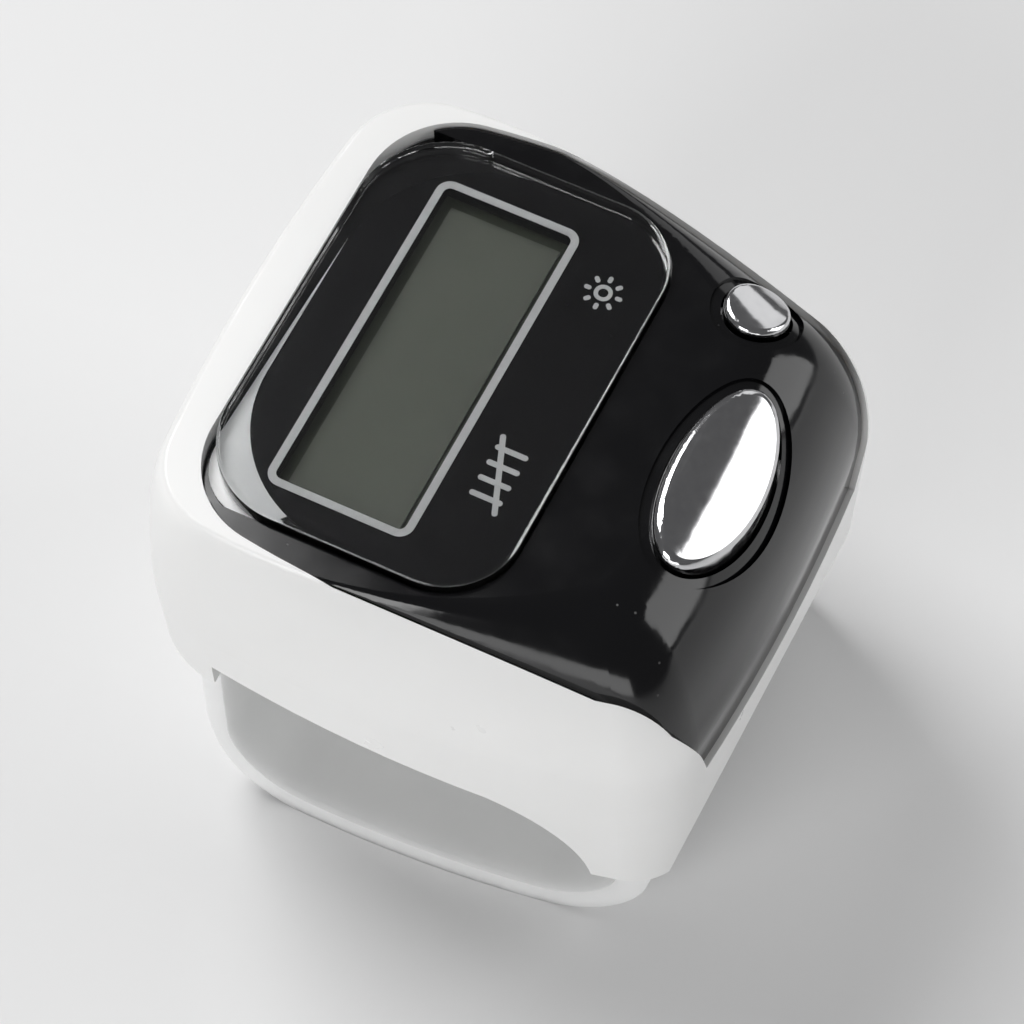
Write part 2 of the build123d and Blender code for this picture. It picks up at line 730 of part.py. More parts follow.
# Display stack: reflector, light guide with its lamp, polarisers, glass, contact strip and holder
layers = (("reflector_sheet", board_top, reflector_thickness),
          ("rear_polariser", rear_polariser_low, polariser_thickness))
for layer_name, low, thickness in layers:
    with BuildPart() as layer:
        with BuildSketch(Plane.XY.offset(low)):
            with Locations((0, rear_y)):
                Rectangle(glass_width - 2 * polariser_inset, rear_depth - 2 * polariser_inset)
        extrude(amount=thickness)
    layer.part.label = layer_name
    export_step(layer.part, "parts/" + layer_name + ".step")

lamp_x = glass_width / 2 - polariser_inset - led_length / 2
with BuildPart() as light_guide:
    with BuildSketch(Plane.XY.offset(guide_low)):
        with Locations((0, rear_y)):
            Rectangle(glass_width - 2 * polariser_inset, rear_depth - 2 * polariser_inset)
        with Locations((lamp_x, rear_y)):
            Rectangle(led_length + 2 * fit_gap, led_width + 2 * fit_gap, mode=Mode.SUBTRACT)
    extrude(amount=guide_thickness)
light_guide.part.label = "light_guide"
export_step(light_guide.part, "parts/light_guide.step")

with BuildPart() as backlight_led:
    with BuildSketch(Plane.XY.offset(guide_low)):
        with Locations((lamp_x, rear_y)):
            Rectangle(led_length, led_width)
    extrude(amount=led_height)
backlight_led.part.label = "backlight_led"
export_step(backlight_led.part, "parts/backlight_led.step")

with BuildPart() as lcd_panel:
    with BuildSketch(Plane.XY.offset(rear_glass_low)):
        with Locations((0, rear_y)):
            Rectangle(glass_width, rear_depth)
    extrude(amount=rear_glass_thickness)
    with BuildSketch(Plane.XY.offset(front_glass_low)):
        with Locations((0, glass_y)):
            Rectangle(glass_width, glass_depth)
    extrude(amount=front_glass_thickness)
lcd_panel.part.label = "lcd_panel"
export_step(lcd_panel.part, "parts/lcd_panel.step")

with BuildPart() as front_polariser:
    with BuildSketch(Plane.XY.offset(front_polariser_low)):
        with Locations((0, window_y)):
            Rectangle(window_width - 2 * view_margin, window_height - 2 * view_margin)
    extrude(amount=polariser_thickness)
front_polariser.part.label = "front_polariser"
export_step(front_polariser.part, "parts/front_polariser.step")

with BuildPart() as zebra_strip:
    with BuildSketch(Plane.XY.offset(board_top)):
        with Locations((0, glass_nose_y + contact_ledge / 2)):
            Rectangle(glass_width - 2 * zebra_inset, zebra_width)
    extrude(amount=front_glass_low - board_top)
zebra_strip.part.label = "zebra_strip"
export_step(zebra_strip.part, "parts/zebra_strip.step")

with BuildPart() as lcd_holder:
    holder_grow = 2 * (holder_wall + holder_gap)
    with BuildSketch(Plane.XY.offset(board_top)):
        with Locations((0, glass_y)):
            Rectangle(glass_width + holder_grow, glass_depth + holder_grow)
        add(face_plan(-ledge_width - board_gap), mode=Mode.INTERSECT)
        with Locations((0, glass_y)):
            Rectangle(glass_width + 2 * holder_gap, glass_depth + 2 * holder_gap, mode=Mode.SUBTRACT)
    extrude(amount=display_top - board_top)
lcd_holder.part.label = "lcd_holder"
export_step(lcd_holder.part, "parts/lcd_holder.step")

# Bonded chip under its drop of resin, and two small passives
with BuildPart() as chip_blob:
    with BuildSketch(Plane.XY.offset(board_top)):
        with Locations((-chip_side, glass_nose_y - chip_ahead)):
            Circle(chip_diameter / 2)
    extrude(amount=chip_height)
    fillet(chip_blob.faces().sort_by(Axis.Z)[-1].edges(), chip_edge_radius)
chip_blob.part.label = "chip_blob"
export_step(chip_blob.part, "parts/chip_blob.step")

capacitor_x = board_screw_x - boss_diameter / 2 - passive_gap - passive_length / 2
resistor_x = capacitor_x - passive_spacing
for passive_name, passive_x in (("led_resistor", resistor_x), ("filter_capacitor", capacitor_x)):
    with BuildPart() as passive:
        with BuildSketch(Plane.XY.offset(board_top)):
            with Locations((passive_x, glass_nose_y - passive_ahead)):
                Rectangle(passive_length, passive_width)
        extrude(amount=passive_height)
    passive.part.label = passive_name
    export_step(passive.part, "parts/" + passive_name + ".step")

# Battery door with its tabs and countersunk screw place, the link on it and the two cells
with BuildPart() as battery_door:
    with BuildSketch(door_plane):
        RectangleRounded(door_length, door_width, door_corner_radius)
    extrude(amount=door_thickness)
    with BuildSketch(door_plane.offset(door_tab_low)):
        with Locations((-cell_spacing / 2, -door_width / 2), (cell_spacing / 2, -door_width / 2)):
            Rectangle(door_tab_width, 2 * door_tab_reach)
    extrude(amount=door_tab_thickness)
    with BuildSketch(door_plane):
        with Locations((0, door_screw_y)):
            Circle(screw_head_diameter / 2 + fit_gap)
    extrude(amount=screw_head_height, mode=Mode.SUBTRACT)
    with BuildSketch(door_plane):
        with Locations((0, door_screw_y)):
            Circle(screw_diameter / 2 + screw_gap)
    extrude(amount=door_thickness, mode=Mode.SUBTRACT)
battery_door.part.label = "battery_door"
export_step(battery_door.part, "parts/battery_door.step")

with BuildPart() as battery_link:
    with BuildSketch(door_plane.offset(door_thickness)):
        Rectangle(link_length, link_width)
    extrude(amount=link_thickness)
battery_link.part.label = "battery_link"
export_step(battery_link.part, "parts/battery_link.step")

for cell_name, place in zip(("button_cell_left", "button_cell_right"), cell_places):
    with BuildPart() as cell:
        with BuildSketch(door_plane.offset(cell_low)):
            with Locations(place):
                Circle(cell_diameter / 2)
        extrude(amount=cell_height - cell_cap_height)
        with BuildSketch(door_plane.offset(cell_low + cell_height - cell_cap_height)):
            with Locations(place):
                Circle(cell_diameter / 2 - cell_cap_inset)
        extrude(amount=cell_cap_height)
    cell.part.label = cell_name
    export_step(cell.part, "parts/" + cell_name + ".step")

# Spring contacts: strips that hang from the board and press on the cells
cell_top_point = door_plane.from_local_coords((0, 0, cell_low + cell_height))
foot_z = cell_top_point.Z + contact_width / 2 * tunnel_rise_share + contact_thickness / 2 + seat_gap
for contact_name, side_sign in (("negative_contact", -1), ("positive_contact", 1)):
    middle_x = side_sign * cell_spacing / 2
    reach_x = side_sign * contact_length / 2
    strip_z = board_low - contact_thickness / 2
    with BuildPart() as contact:
        with BuildSketch(Plane.XZ.offset(-cell_top_point.Y)):
            with BuildLine():
                FilletPolyline((middle_x - reach_x, strip_z), (middle_x + reach_x, strip_z),
                               (middle_x - side_sign * contact_foot, foot_z),
                               (middle_x + side_sign * contact_foot, foot_z), radius=contact_bend_radius)
            trace(line_width=contact_thickness)
        extrude(amount=contact_width / 2, both=True)
    contact.part.label = contact_name
    export_step(contact.part, "parts/" + contact_name + ".step")

# Screws
case_screw = screw((0, case_screw_y), case_screw_seat_z - screw_head_height,
                   cavity_nose_z - case_screw_seat_z + case_screw_bite)
case_screw.label = "case_screw"
export_step(case_screw, "parts/case_screw.step")

board_screw_right = screw((board_screw_x, board_screw_y), board_low - screw_head_height,
                          board_thickness + board_screw_bite)
with BuildPart() as board_screws:
    add(board_screw_right)
    mirror(board_screw_right, about=Plane.YZ)
board_screws.part.label = "board_screws"
export_step(board_screws.part, "parts/board_screws.step")

with BuildPart() as door_screw:
    with BuildSketch(door_plane):
        with Locations((0, door_screw_y)):
            Circle(screw_head_diameter / 2)
    extrude(amount=screw_head_height)
    with BuildSketch(door_plane.offset(screw_head_height)):
        with Locations((0, door_screw_y)):
            Circle(screw_diameter / 2)
    extrude(amount=door_thickness - screw_head_height + door_screw_bite)
door_screw.part.label = "door_screw"
export_step(door_screw.part, "parts/door_screw.step")
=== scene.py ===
import math

import bpy
from mathutils import Matrix, Vector


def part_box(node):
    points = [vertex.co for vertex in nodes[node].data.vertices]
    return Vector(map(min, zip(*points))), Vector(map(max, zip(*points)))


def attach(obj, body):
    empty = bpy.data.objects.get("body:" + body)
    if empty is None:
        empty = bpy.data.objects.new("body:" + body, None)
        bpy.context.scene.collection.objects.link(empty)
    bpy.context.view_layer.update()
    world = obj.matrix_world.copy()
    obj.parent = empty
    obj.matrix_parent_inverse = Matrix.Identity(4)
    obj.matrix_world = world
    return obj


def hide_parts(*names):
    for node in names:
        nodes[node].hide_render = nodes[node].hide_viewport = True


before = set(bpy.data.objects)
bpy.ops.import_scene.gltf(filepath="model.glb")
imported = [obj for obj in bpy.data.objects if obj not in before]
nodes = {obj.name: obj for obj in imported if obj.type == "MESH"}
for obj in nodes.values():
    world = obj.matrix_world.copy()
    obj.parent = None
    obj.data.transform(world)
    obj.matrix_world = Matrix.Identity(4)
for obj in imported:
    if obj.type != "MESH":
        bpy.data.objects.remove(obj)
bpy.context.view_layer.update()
MM = 0.001


# Colours and nodes


def linear(code):
    """Turn an sRGB hex colour into linear RGBA."""
    channels = [int(code[i:i + 2], 16) / 255 for i in (1, 3, 5)]
    return [c / 12.92 if c <= 0.04045 else ((c + 0.055) / 1.055) ** 2.4 for c in channels] + [1.0]


def add_node(tree, kind, links=(), **settings):
    """Add a node, set its inputs and properties by name, and link outputs of other nodes to its inputs."""
    node = tree.nodes.new(kind)
    for name, value in settings.items():
        if hasattr(node, name):
            setattr(node, name, value)
        else:
            node.inputs[name.replace("_", " ")].default_value = value
    for socket, source in links:
        tree.links.new(source, node.inputs[socket])
    return node


def start_material(name):
    """Start a named material and give its node tree, its shader and its Object coordinates."""
    material = bpy.data.materials.new(name)
    material.use_nodes = True
    tree = material.node_tree
    shader = tree.nodes["Principled BSDF"]
    place = add_node(tree, "ShaderNodeTexCoord").outputs["Object"]
    return material, tree, shader, place


def set_inputs(shader, **values):
    """Set the shader's plain values by socket name."""
    for name, value in values.items():
        shader.inputs[name.replace("_", " ")].default_value = value


def noise(tree, place, size, detail):
    """Add noise with features of about the given size and give its value."""
    node = add_node(tree, "ShaderNodeTexNoise", [("Vector", place)], Scale=1 / size, Detail=detail)
    return node.outputs["Fac"]


def colour_between(tree, shader, factor, low, high):
    """Let a value carry the shader's colour from one hex colour to another."""
    shade = add_node(tree, "ShaderNodeMix", [("Factor", factor)], data_type="RGBA")
    shade.inputs["A"].default_value = linear(low)
    shade.inputs["B"].default_value = linear(high)
    tree.links.new(shade.outputs["Result"], shader.inputs["Base Color"])


def roughen(tree, shader, value, low, high, **span):
    """Let a value, over its span, carry the shader's roughness from low to high."""
    sheen = add_node(tree, "ShaderNodeMapRange", [("Value", value)], To_Min=low, To_Max=high, **span)
    tree.links.new(sheen.outputs["Result"], shader.inputs["Roughness"])


def emboss(tree, shader, height, strength, distance):
    """Give the shader fine relief that follows a value."""
    bump = add_node(tree, "ShaderNodeBump", [("Height", height)], Strength=strength, Distance=distance)
    tree.links.new(bump.outputs["Normal"], shader.inputs["Normal"])


# White ABS, injection moulded: a smooth semi-gloss skin with a faint ripple and a little light let in
def moulded_white_abs():
    material, tree, shader, place = start_material("white_abs_moulded")
    set_inputs(shader, IOR=1.53, Subsurface_Weight=0.12, Subsurface_Scale=0.6 * MM,
               Subsurface_Radius=(1.0, 0.95, 0.9))
    # Shade varies by a hair over about 9 mm, as thicker and thinner walls do
    colour_between(tree, shader, noise(tree, place, 9 * MM, 2.0), "#E9E9E8", "#F1F1F0")
    # Sheen varies over about 4 mm, where hands have rubbed it
    roughen(tree, shader, noise(tree, place, 4 * MM, 4.0), 0.24, 0.36)
    # Moulding ripple, about 1.5 mm from crest to crest
    emboss(tree, shader, noise(tree, place, 1.5 * MM, 3.0), 0.05, 0.05 * MM)
    return material


# Translucent white polypropylene, moulded thin: greyer and softer than the case, with light passing through
def moulded_clear_polypropylene():
    material, tree, shader, place = start_material("translucent_polypropylene_moulded")
    set_inputs(shader, IOR=1.49, Subsurface_Weight=0.8, Subsurface_Scale=2.5 * MM,
               Subsurface_Radius=(1.0, 1.0, 1.0))
    # Milky clouds about 6 mm across
    colour_between(tree, shader, noise(tree, place, 6 * MM, 3.0), "#E4E5E5", "#EEEEED")
    # Grain of the mould, about 0.35 mm, in the sheen and in the relief
    grain = noise(tree, place, 0.35 * MM, 2.0)
    roughen(tree, shader, grain, 0.38, 0.5)
    emboss(tree, shader, grain, 0.08, 0.02 * MM)
    return material


# Black ABS from a polished mould: mirror-like, with dust specks and faint smears
def polished_black_abs():
    material, tree, shader, place = start_material("black_abs_polished")
    set_inputs(shader, IOR=1.54)
    # Dust, in grains about 0.12 mm across that lie about 1.4 mm apart, in patches about 5 mm across
    grains = add_node(tree, "ShaderNodeTexVoronoi", [("Vector", place)], Scale=1 / (1.4 * MM))
    dust = add_node(tree, "ShaderNodeMapRange", [("Value", grains.outputs["Distance"])],
                    From_Min=0.035, From_Max=0.06, To_Min=1.0, To_Max=0.0)
    settled = add_node(tree, "ShaderNodeMapRange", [("Value", noise(tree, place, 5 * MM, 3.0))],
                       From_Min=0.5, From_Max=0.62, To_Min=0.0, To_Max=0.5)
    speck = add_node(tree, "ShaderNodeMath", [(0, dust.outputs["Result"]), (1, settled.outputs["Result"])],
                     operation="MULTIPLY")
    colour_between(tree, shader, speck.outputs["Value"], "#0B0B0D", "#8C8C8C")
    # Smears about 2.2 mm across dull the mirror a little
    roughen(tree, shader, noise(tree, place, 2.2 * MM, 5.0), 0.09, 0.17, From_Min=0.35, From_Max=0.75)
    return material


# Chrome plating over moulded plastic: bright, with the faint orange peel that plating leaves
def plated_chrome():
    material, tree, shader, place = start_material("chrome_plated_plastic")
    set_inputs(shader, Metallic=1.0)
    # Orange peel, about 0.5 mm from bump to bump, in the shade, in the sheen and in the relief
    peel = noise(tree, place, 0.5 * MM, 3.0)
    colour_between(tree, shader, peel, "#CFCFD1", "#DCDCDD")
    roughen(tree, shader, peel, 0.07, 0.16)
    emboss(tree, shader, peel, 0.12, 0.02 * MM)
    return material


# Clear acrylic, cast and polished: see-through, with faint wipe marks in its gloss
def polished_acrylic():
    material, tree, shader, place = start_material("clear_acrylic_polished")
    set_inputs(shader, IOR=1.49, Transmission_Weight=1.0, Base_Color=linear("#FBFCFC"))
    # Wipe marks about 3 mm across
    roughen(tree, shader, noise(tree, place, 3 * MM, 4.0), 0.0, 0.05, From_Min=0.4, From_Max=0.8)
    return material


# Plain finishes of the print and the inner pieces: one colour drifting to another over a real distance
def inner_finish(name, low, high, spread_mm, roughness, metallic=0.0):
    material, tree, shader, place = start_material(name)
    set_inputs(shader, Metallic=metallic)
    drift = noise(tree, place, spread_mm * MM, 3.0)
    colour_between(tree, shader, drift, low, high)
    roughen(tree, shader, drift, roughness * 0.8, roughness * 1.2)
    return material


white_abs = moulded_white_abs()
polypropylene = moulded_clear_polypropylene()
black_abs = polished_black_abs()
chrome = plated_chrome()
acrylic = polished_acrylic()
black_ink = inner_finish("black_ink_screen_printed", "#060608", "#0A0A0C", 2.0, 0.3)
# The film lies close against the lens, so its own face hardly mirrors
set_inputs(black_ink.node_tree.nodes["Principled BSDF"], Specular_IOR_Level=0.08)
silver_ink = inner_finish("silver_ink_screen_printed", "#CFCFCF", "#DEDEDE", 0.4, 0.4)
# Near white for the pale strip under the lens edge, which is partly a painted highlight
painted_highlight_film = inner_finish("pale_film_painted_highlight", "#F2F2F2", "#FAFAFA", 1.2, 0.3)
display_film = inner_finish("grey_polariser_film_laminated", "#585C50", "#5E6256", 3.0, 0.45)
display_glass = inner_finish("grey_glass_display_ground", "#4E5247", "#565A4E", 3.0, 0.2)
steel = inner_finish("nickel_plated_steel_rolled", "#B4B3AE", "#C6C5C1", 0.8, 0.3, 1.0)
zinc = inner_finish("zinc_plated_steel_turned", "#9C9CA0", "#B2B2B4", 0.4, 0.35, 1.0)
laminate = inner_finish("green_laminate_lacquered", "#1F4A2A", "#265733", 1.5, 0.4)
white_film = inner_finish("white_film_extruded", "#DDDDDA", "#E6E6E4", 2.0, 0.6)
black_plastic = inner_finish("black_nylon_moulded", "#17171A", "#202023", 0.8, 0.5)
cream_plastic = inner_finish("cream_nylon_moulded", "#C9C4B6", "#D6D2C6", 0.8, 0.5)
strip_rubber = inner_finish("silicone_rubber_layered", "#8E8E92", "#B0B0B4", 0.3, 0.7)
chip_resin = inner_finish("black_epoxy_drop_cured", "#0E0E10", "#16161A", 1.0, 0.25)
lamp_resin = inner_finish("yellow_phosphor_resin_cast", "#E2D27A", "#EBDD92", 0.4, 0.4)
ceramic = inner_finish("tan_ceramic_fired", "#8C7355", "#A08867", 0.4, 0.5)

finishes = {
    "finger_band": polypropylene, "lower_case": white_abs, "battery_door": white_abs,
    "top_shell": black_abs, "display_lens": acrylic, "printed_mask": black_ink,
    "count_button": chrome, "light_button": chrome,
    "count_switch_base": black_plastic, "light_switch_base": black_plastic,
    "count_switch_plunger": cream_plastic, "light_switch_plunger": cream_plastic,
    "circuit_board": laminate, "reflector_sheet": white_film, "light_guide": acrylic,
    "rear_polariser": display_film, "front_polariser": display_film, "lcd_panel": display_glass,
    "backlight_led": lamp_resin, "zebra_strip": strip_rubber, "lcd_holder": black_plastic,
    "chip_blob": chip_resin, "led_resistor": black_plastic, "filter_capacitor": ceramic,
    "battery_link": steel, "button_cell_left": steel, "button_cell_right": steel,
    "negative_contact": steel, "positive_contact": steel,
    "case_screw": zinc, "board_screws": zinc, "door_screw": zinc,
}
for name, finish in finishes.items():
    mesh = nodes[name].data
    mesh.materials.clear()
    mesh.materials.append(finish)


# Pieces that the solids leave to this script

SAME_PLACE = 0.01 * MM


def choose(piece):
    """Select only this piece and make it the active one."""
    bpy.ops.object.select_all(action="DESELECT")
    piece.select_set(True)
    bpy.context.view_layer.objects.active = piece


def take(piece, name, body, finish):
    """Name a finished piece, bring its place into its mesh, and say its material and body."""
    choose(piece)
    bpy.ops.object.transform_apply(location=True, rotation=True, scale=True)
    piece.name = name
    piece.data.materials.clear()
    piece.data.materials.append(finish)
    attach(piece, body)


def use_modifier(piece, kind, **settings):
    """Add a modifier with its settings and apply it."""
    choose(piece)
    modifier = piece.modifiers.new(kind.lower(), kind)
    for name, value in settings.items():
        setattr(modifier, name, value)
    bpy.ops.object.modifier_apply(modifier=modifier.name)


def pick(piece, kind, wanted):
    """Go into edit mode with only the wanted vertices (VERT) or faces (FACE) of the active piece selected."""
    bpy.ops.object.mode_set(mode="EDIT")
    bpy.ops.mesh.select_mode(type=kind)
    bpy.ops.mesh.select_all(action="DESELECT")
    bpy.ops.object.mode_set(mode="OBJECT")
    for item in piece.data.vertices if kind == "VERT" else piece.data.polygons:
        item.select = wanted(item)
    bpy.ops.object.mode_set(mode="EDIT")


def round_picked(offset, segments):
    """Round the picked corners of a flat plate and leave edit mode."""
    bpy.ops.mesh.bevel(offset=offset, segments=segments, profile=0.5, affect="VERTICES")
    bpy.ops.object.mode_set(mode="OBJECT")


def move_picked(along):
    """Move the picked corners along the length of the part and leave edit mode."""
    bpy.ops.transform.translate(value=(0, along, 0))
    bpy.ops.object.mode_set(mode="OBJECT")


def bevel_picked(offset, segments):
    """Bevel the edges of the picked faces and leave edit mode."""
    bpy.ops.mesh.bevel(offset=offset, segments=segments, affect="EDGES")
    bpy.ops.object.mode_set(mode="OBJECT")


def plate(centre, width, depth, low, nose_corner=0, tail_corner=0, segments=8):
    """Add a flat plate seen from above, with its corners at the nose and at the tail rounded."""
    bpy.ops.object.select_all(action="DESELECT")
    bpy.ops.mesh.primitive_plane_add(size=1.0, location=(centre[0], centre[1], low))
    piece = bpy.context.object
    piece.scale = (width, depth, 1.0)
    bpy.ops.object.transform_apply(location=True, rotation=True, scale=True)
    for corner, side in ((nose_corner, -1), (tail_corner, 1)):
        if corner:
            edge_y = centre[1] + side * depth / 2
            pick(piece, "VERT", lambda vertex: abs(vertex.co.y - edge_y) < SAME_PLACE)
            round_picked(corner, segments)
    return piece


def hollow(piece, line):
    """Leave only a line of the given width along the plate's edge."""
    bpy.ops.object.mode_set(mode="EDIT")
    bpy.ops.mesh.select_all(action="SELECT")
    bpy.ops.mesh.inset(thickness=line)
    bpy.ops.mesh.delete(type="FACE")
    bpy.ops.object.mode_set(mode="OBJECT")


def copy_piece(piece, move):
    """Copy a piece, with its own mesh, moved by a matrix."""
    twin = piece.copy()
    twin.data = piece.data.copy()
    twin.data.transform(move)
    bpy.context.scene.collection.objects.link(twin)
    return twin


def join(first, others):
    """Join pieces into the first one."""
    choose(first)
    for piece in others:
        piece.select_set(True)
    bpy.ops.object.join()


# Printed marks, in the thin gap between the film and the lens
film_low, film_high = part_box("printed_mask")
INK_GAP = 0.005 * MM
INK_THICKNESS = 0.03 * MM
ink_low = film_high.z + INK_GAP


def print_mark(piece, name):
    """Give a flat mark the thickness of ink and take it as silver print."""
    use_modifier(piece, "SOLIDIFY", thickness=INK_THICKNESS, offset=1.0)
    take(piece, name, "case", silver_ink)


# Line round the display window
WINDOW_CENTRE = (0, 5.6 * MM)
WINDOW_WIDTH, WINDOW_DEPTH = 19.0 * MM, 7.2 * MM
LINE_WIDTH = 0.42 * MM
LINE_CORNER = 0.8 * MM
window_line = plate(WINDOW_CENTRE, WINDOW_WIDTH + 2 * LINE_WIDTH, WINDOW_DEPTH + 2 * LINE_WIDTH, ink_low,
                    LINE_CORNER, LINE_CORNER)
hollow(window_line, LINE_WIDTH)
print_mark(window_line, "window_line")

# Tally mark beside the count button: four upright strokes crossed by a fifth, which lies a hair above them
TALLY_CENTRE = Vector((-4.6 * MM, -0.8 * MM, 0))
STROKE_WIDTH, STROKE_HEIGHT, STROKE_STEP = 0.3 * MM, 1.8 * MM, 0.95 * MM
STROKE_END = 0.48 * STROKE_WIDTH
SLASH_LENGTH, SLASH_TURN, SLASH_RISE = 4.7 * MM, math.radians(-69), 0.008 * MM
tally = plate((TALLY_CENTRE.x - 1.5 * STROKE_STEP, TALLY_CENTRE.y), STROKE_WIDTH, STROKE_HEIGHT, ink_low,
              STROKE_END, STROKE_END)
uprights = [copy_piece(tally, Matrix.Translation((step * STROKE_STEP, 0, 0))) for step in (1, 2, 3)]
slash = plate((0, 0), STROKE_WIDTH, SLASH_LENGTH, ink_low + SLASH_RISE, STROKE_END, STROKE_END)
slash.data.transform(Matrix.Translation(TALLY_CENTRE) @ Matrix.Rotation(SLASH_TURN, 4, "Z"))
join(tally, uprights + [slash])
print_mark(tally, "tally_mark")

# Lamp mark beside the light button: a ring with eight rays
LAMP_CENTRE = Vector((7.2 * MM, -0.8 * MM, 0))
RING_WIDTH, RING_CORNER, RING_LINE = 0.96 * MM, 0.46 * MM, 0.22 * MM
RAY_COUNT = 8
RAY_REACH, RAY_WIDTH, RAY_LENGTH, RAY_END = 0.86 * MM, 0.24 * MM, 0.38 * MM, 0.11 * MM
lamp_mark = plate((LAMP_CENTRE.x, LAMP_CENTRE.y), RING_WIDTH, RING_WIDTH, ink_low, RING_CORNER, RING_CORNER)
hollow(lamp_mark, RING_LINE)
ray = plate((0, RAY_REACH), RAY_WIDTH, RAY_LENGTH, ink_low, RAY_END, RAY_END)
turns = [Matrix.Translation(LAMP_CENTRE) @ Matrix.Rotation(2 * math.pi * step / RAY_COUNT, 4, "Z")
         for step in range(RAY_COUNT)]
rays = [copy_piece(ray, turn) for turn in turns]
bpy.data.objects.remove(ray)
join(lamp_mark, rays)
print_mark(lamp_mark, "lamp_mark")

# Unprinted border of the film under the clear edge of the lens. It is near white and cut to the shape of the
# bright band that the edge shows, so it is partly a painted highlight:
# a strip along the tail that narrows towards the right, and a short side piece that runs out along the left
lens_low, lens_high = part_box("display_lens")
BORDER_NOSE, BORDER_RIGHT = 9.3 * MM, 4.5 * MM
BORDER_CORNER, BORDER_SEGMENTS = 3.2 * MM, 16
BORDER_THICKNESS = 0.08 * MM
SIDE_WIDTH, SIDE_DEPTH, SIDE_RUN_OUT = 2.05 * MM, 2.7 * MM, 1.6 * MM
BORDER_SIDE_INSET, BORDER_TAIL_INSET, BORDER_RISE = 0.05 * MM, 0.15 * MM, 0.01 * MM
border_left = lens_low.x + BORDER_SIDE_INSET
border_tail = lens_high.y - BORDER_TAIL_INSET
border_low = film_low.z + BORDER_RISE
border_x, border_y = (border_left + BORDER_RIGHT) / 2, (BORDER_NOSE + border_tail) / 2
border = plate((border_x, border_y), BORDER_RIGHT - border_left, border_tail - BORDER_NOSE, border_low)
pick(border, "VERT", lambda vertex: vertex.co.x > border_x and vertex.co.y > border_y)
move_picked(film_high.y - border_tail)
pick(border, "VERT", lambda vertex: vertex.co.x < border_x and vertex.co.y > border_y)
round_picked(BORDER_CORNER, BORDER_SEGMENTS)
side_x, side_y = border_left + SIDE_WIDTH / 2, BORDER_NOSE - SIDE_DEPTH / 2
border_side = plate((side_x, side_y), SIDE_WIDTH, SIDE_DEPTH, border_low)
pick(border_side, "VERT", lambda vertex: vertex.co.x < side_x and vertex.co.y < side_y)
move_picked(SIDE_RUN_OUT)
join(border, [border_side])
use_modifier(border, "SOLIDIFY", thickness=BORDER_THICKNESS, offset=1.0)
take(border, "film_border_painted_highlight", "case", painted_highlight_film)

# Lens, with a narrow polished bevel round its top and all round the faces of its tail; the flat top and
# underside aren't smoothed, so that they mirror truly
SMOOTH_ANGLE = math.radians(35)
LENS_NOSE_CORNER, LENS_TAIL_CORNER, LENS_SEGMENTS = 4.0 * MM, 5.0 * MM, 16
LENS_BEVEL, LENS_BEVEL_SEGMENTS = 0.18 * MM, 3
lens = plate((0, (lens_low.y + lens_high.y) / 2), lens_high.x - lens_low.x, lens_high.y - lens_low.y,
             lens_low.z, LENS_NOSE_CORNER, LENS_TAIL_CORNER, LENS_SEGMENTS)
use_modifier(lens, "SOLIDIFY", thickness=lens_high.z - lens_low.z, offset=1.0)
pick(lens, "FACE", lambda face: face.normal.z > 0.5 or face.normal.y > 0.01)
bevel_picked(LENS_BEVEL, LENS_BEVEL_SEGMENTS)
bpy.ops.object.shade_smooth_by_angle(angle=SMOOTH_ANGLE)
for face in lens.data.polygons:
    face.use_smooth = abs(face.normal.z) < 0.99
take(lens, "clear_lens", "case", acrylic)
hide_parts("display_lens")

# Cross screws
HEAD_RADIUS, HEAD_HEIGHT, HEAD_SIDES = 1.38 * MM, 0.9 * MM, 48
HEAD_ROUND, HEAD_ROUND_SEGMENTS = 0.28 * MM, 4
HEAD_SHOULDER = 0.64 * MM
RECESS_WIDTH, RECESS_LENGTH, RECESS_HEIGHT = 0.34 * MM, 1.6 * MM, 1.0 * MM


def cross_screw(node, place, tilt, shank):
    """Model a pan screw with a cross recess, head down, that replaces a plain one at its place."""
    bpy.ops.object.select_all(action="DESELECT")
    bpy.ops.mesh.primitive_cylinder_add(vertices=HEAD_SIDES, radius=HEAD_RADIUS, depth=HEAD_HEIGHT,
                                        location=(0, 0, HEAD_HEIGHT / 2))
    piece = bpy.context.object
    bpy.ops.object.transform_apply(location=True, rotation=True, scale=True)
    # Round the outer edge of the head, which faces down
    pick(piece, "FACE", lambda face: face.normal.z < -0.5)
    bevel_picked(HEAD_ROUND, HEAD_ROUND_SEGMENTS)
    # Draw the shank up out of the head's flat side
    pick(piece, "FACE", lambda face: face.normal.z > 0.5)
    bpy.ops.mesh.inset(thickness=HEAD_SHOULDER)
    bpy.ops.mesh.extrude_region_move(TRANSFORM_OT_translate={"value": (0, 0, shank)})
    bpy.ops.object.mode_set(mode="OBJECT")
    # Cut the cross recess, with blades that stand half in the head
    bpy.ops.object.select_all(action="DESELECT")
    bpy.ops.mesh.primitive_cube_add(size=1.0)
    cutter = bpy.context.object
    cutter.scale = (RECESS_WIDTH, RECESS_LENGTH, RECESS_HEIGHT)
    bpy.ops.object.transform_apply(location=True, rotation=True, scale=True)
    arm = copy_piece(cutter, Matrix.Rotation(math.pi / 2, 4, "Z"))
    for blade in (cutter, arm):
        use_modifier(piece, "BOOLEAN", operation="DIFFERENCE", object=blade, solver="EXACT")
        bpy.data.objects.remove(blade)
    bpy.ops.object.shade_smooth_by_angle(angle=SMOOTH_ANGLE)
    piece.location = place
    piece.rotation_euler = (tilt, 0, 0)
    take(piece, node + "_crossed", "case", zinc)
    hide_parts(node)


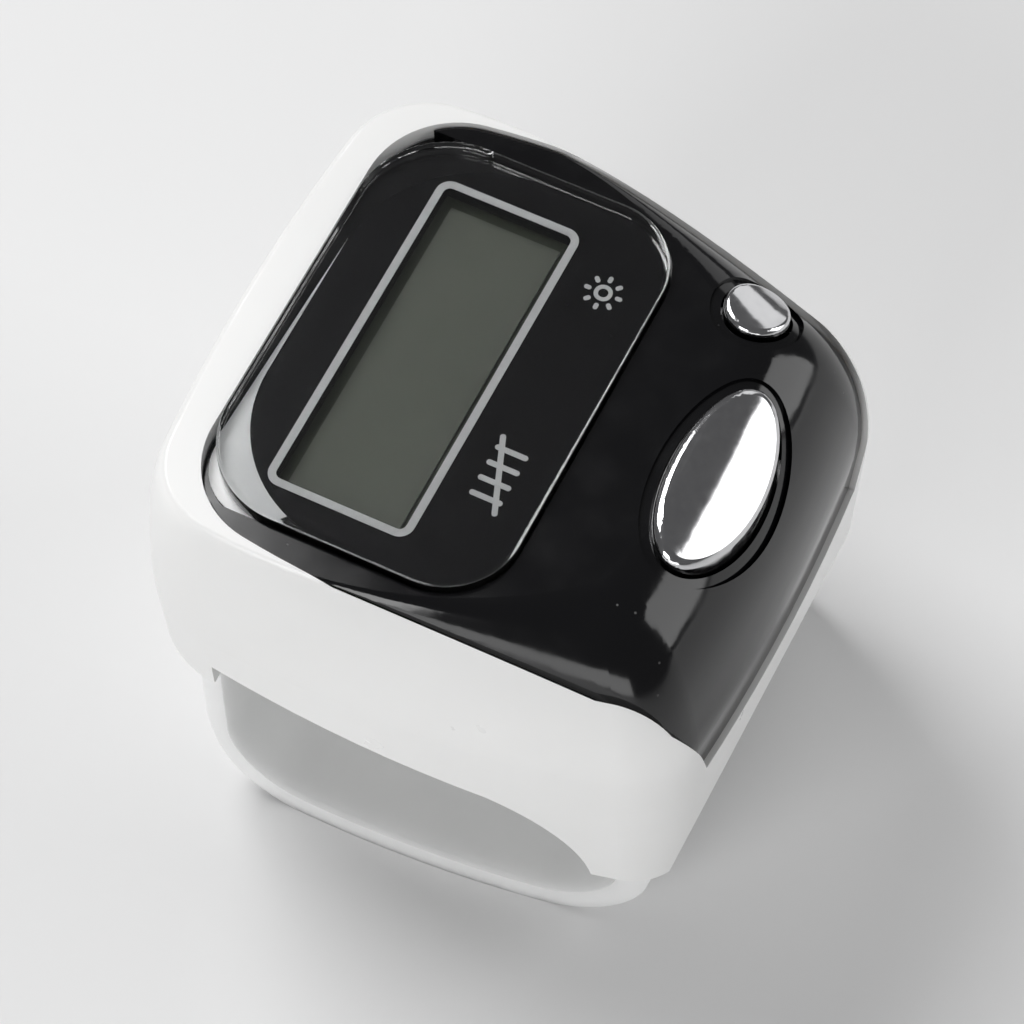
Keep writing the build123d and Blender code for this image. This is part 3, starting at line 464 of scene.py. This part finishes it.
# The door screw leans with the roof of the finger opening, so its place and shank aren't read from its box
DOOR_SCREW_PLACE = (0, 6.923 * MM, 16.229 * MM)
DOOR_SCREW_TILT = math.radians(10.07)
DOOR_SCREW_SHANK = 3.2 * MM
screw_low, screw_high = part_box("case_screw")
cross_screw("case_screw", (0, (screw_low.y + screw_high.y) / 2, screw_low.z), 0,
            screw_high.z - screw_low.z - HEAD_HEIGHT)
cross_screw("door_screw", DOOR_SCREW_PLACE, DOOR_SCREW_TILT, DOOR_SCREW_SHANK)


# Floor, light and camera

FLOOR_SIZE = 3.0
bpy.ops.object.select_all(action="DESELECT")
bpy.ops.mesh.primitive_plane_add(size=FLOOR_SIZE, location=(0, 0, 0))
floor = bpy.context.object
floor.name = "floor"
floor_paper, _, floor_shader, _ = start_material("pale_paper_floor")
set_inputs(floor_shader, Base_Color=linear("#E4E4E4"), Roughness=0.7)
floor.data.materials.append(floor_paper)

world = bpy.data.worlds.new("soft_room")
bpy.context.scene.world = world
world.use_nodes = True
set_inputs(world.node_tree.nodes["Background"], Color=linear("#E8E8EA"), Strength=0.14)


def soft_box(name, place, aim, width, height, watts):
    """Add a rectangular lamp at place that faces aim."""
    lamp = bpy.data.lights.new(name, "AREA")
    lamp.shape = "RECTANGLE"
    lamp.size = width
    lamp.size_y = height
    lamp.energy = watts
    holder = bpy.data.objects.new(name, lamp)
    bpy.context.scene.collection.objects.link(holder)
    holder.location = place
    holder.rotation_euler = (Vector(aim) - Vector(place)).to_track_quat("-Z", "Y").to_euler()


MIDDLE = (0, 0, 20 * MM)
OPENING = (0, 0, 8 * MM)
soft_box("key_box", (0.10, 0.25, 0.35), MIDDLE, 0.22, 0.22, 1.38)
soft_box("fill_box", (-0.35, 0.05, 0.20), MIDDLE, 0.20, 0.20, 0.64)
soft_box("nose_box", (0.18, -0.32, 0.17), MIDDLE, 0.24, 0.30, 0.5)
soft_box("side_box", (0.40, 0.02, 0.22), MIDDLE, 0.25, 0.25, 0.16)
soft_box("opening_box", (-0.30, -0.12, 0.05), OPENING, 0.25, 0.08, 0.14)

# Place, turn and focal length of the photo's camera, fitted to it; the view is the square that holds the part
CAMERA_PLACE = (-0.11354, -0.05892, 0.2418)
CAMERA_TURN = (math.radians(29.7), math.radians(0.8), math.radians(-63.6))
FOCAL_PIXELS, VIEW_PIXELS = 1800, 370
SENSOR_WIDTH = 36.0
photo_lens = bpy.data.cameras.new("photo_view")
photo_lens.sensor_width = SENSOR_WIDTH
photo_lens.lens = SENSOR_WIDTH * FOCAL_PIXELS / VIEW_PIXELS
photo_lens.clip_start = 0.01
photo_view = bpy.data.objects.new("photo_view", photo_lens)
bpy.context.scene.collection.objects.link(photo_view)
photo_view.location = CAMERA_PLACE
photo_view.rotation_euler = CAMERA_TURN
bpy.context.scene.camera = photo_view
bpy.context.scene.view_settings.view_transform = "Standard"
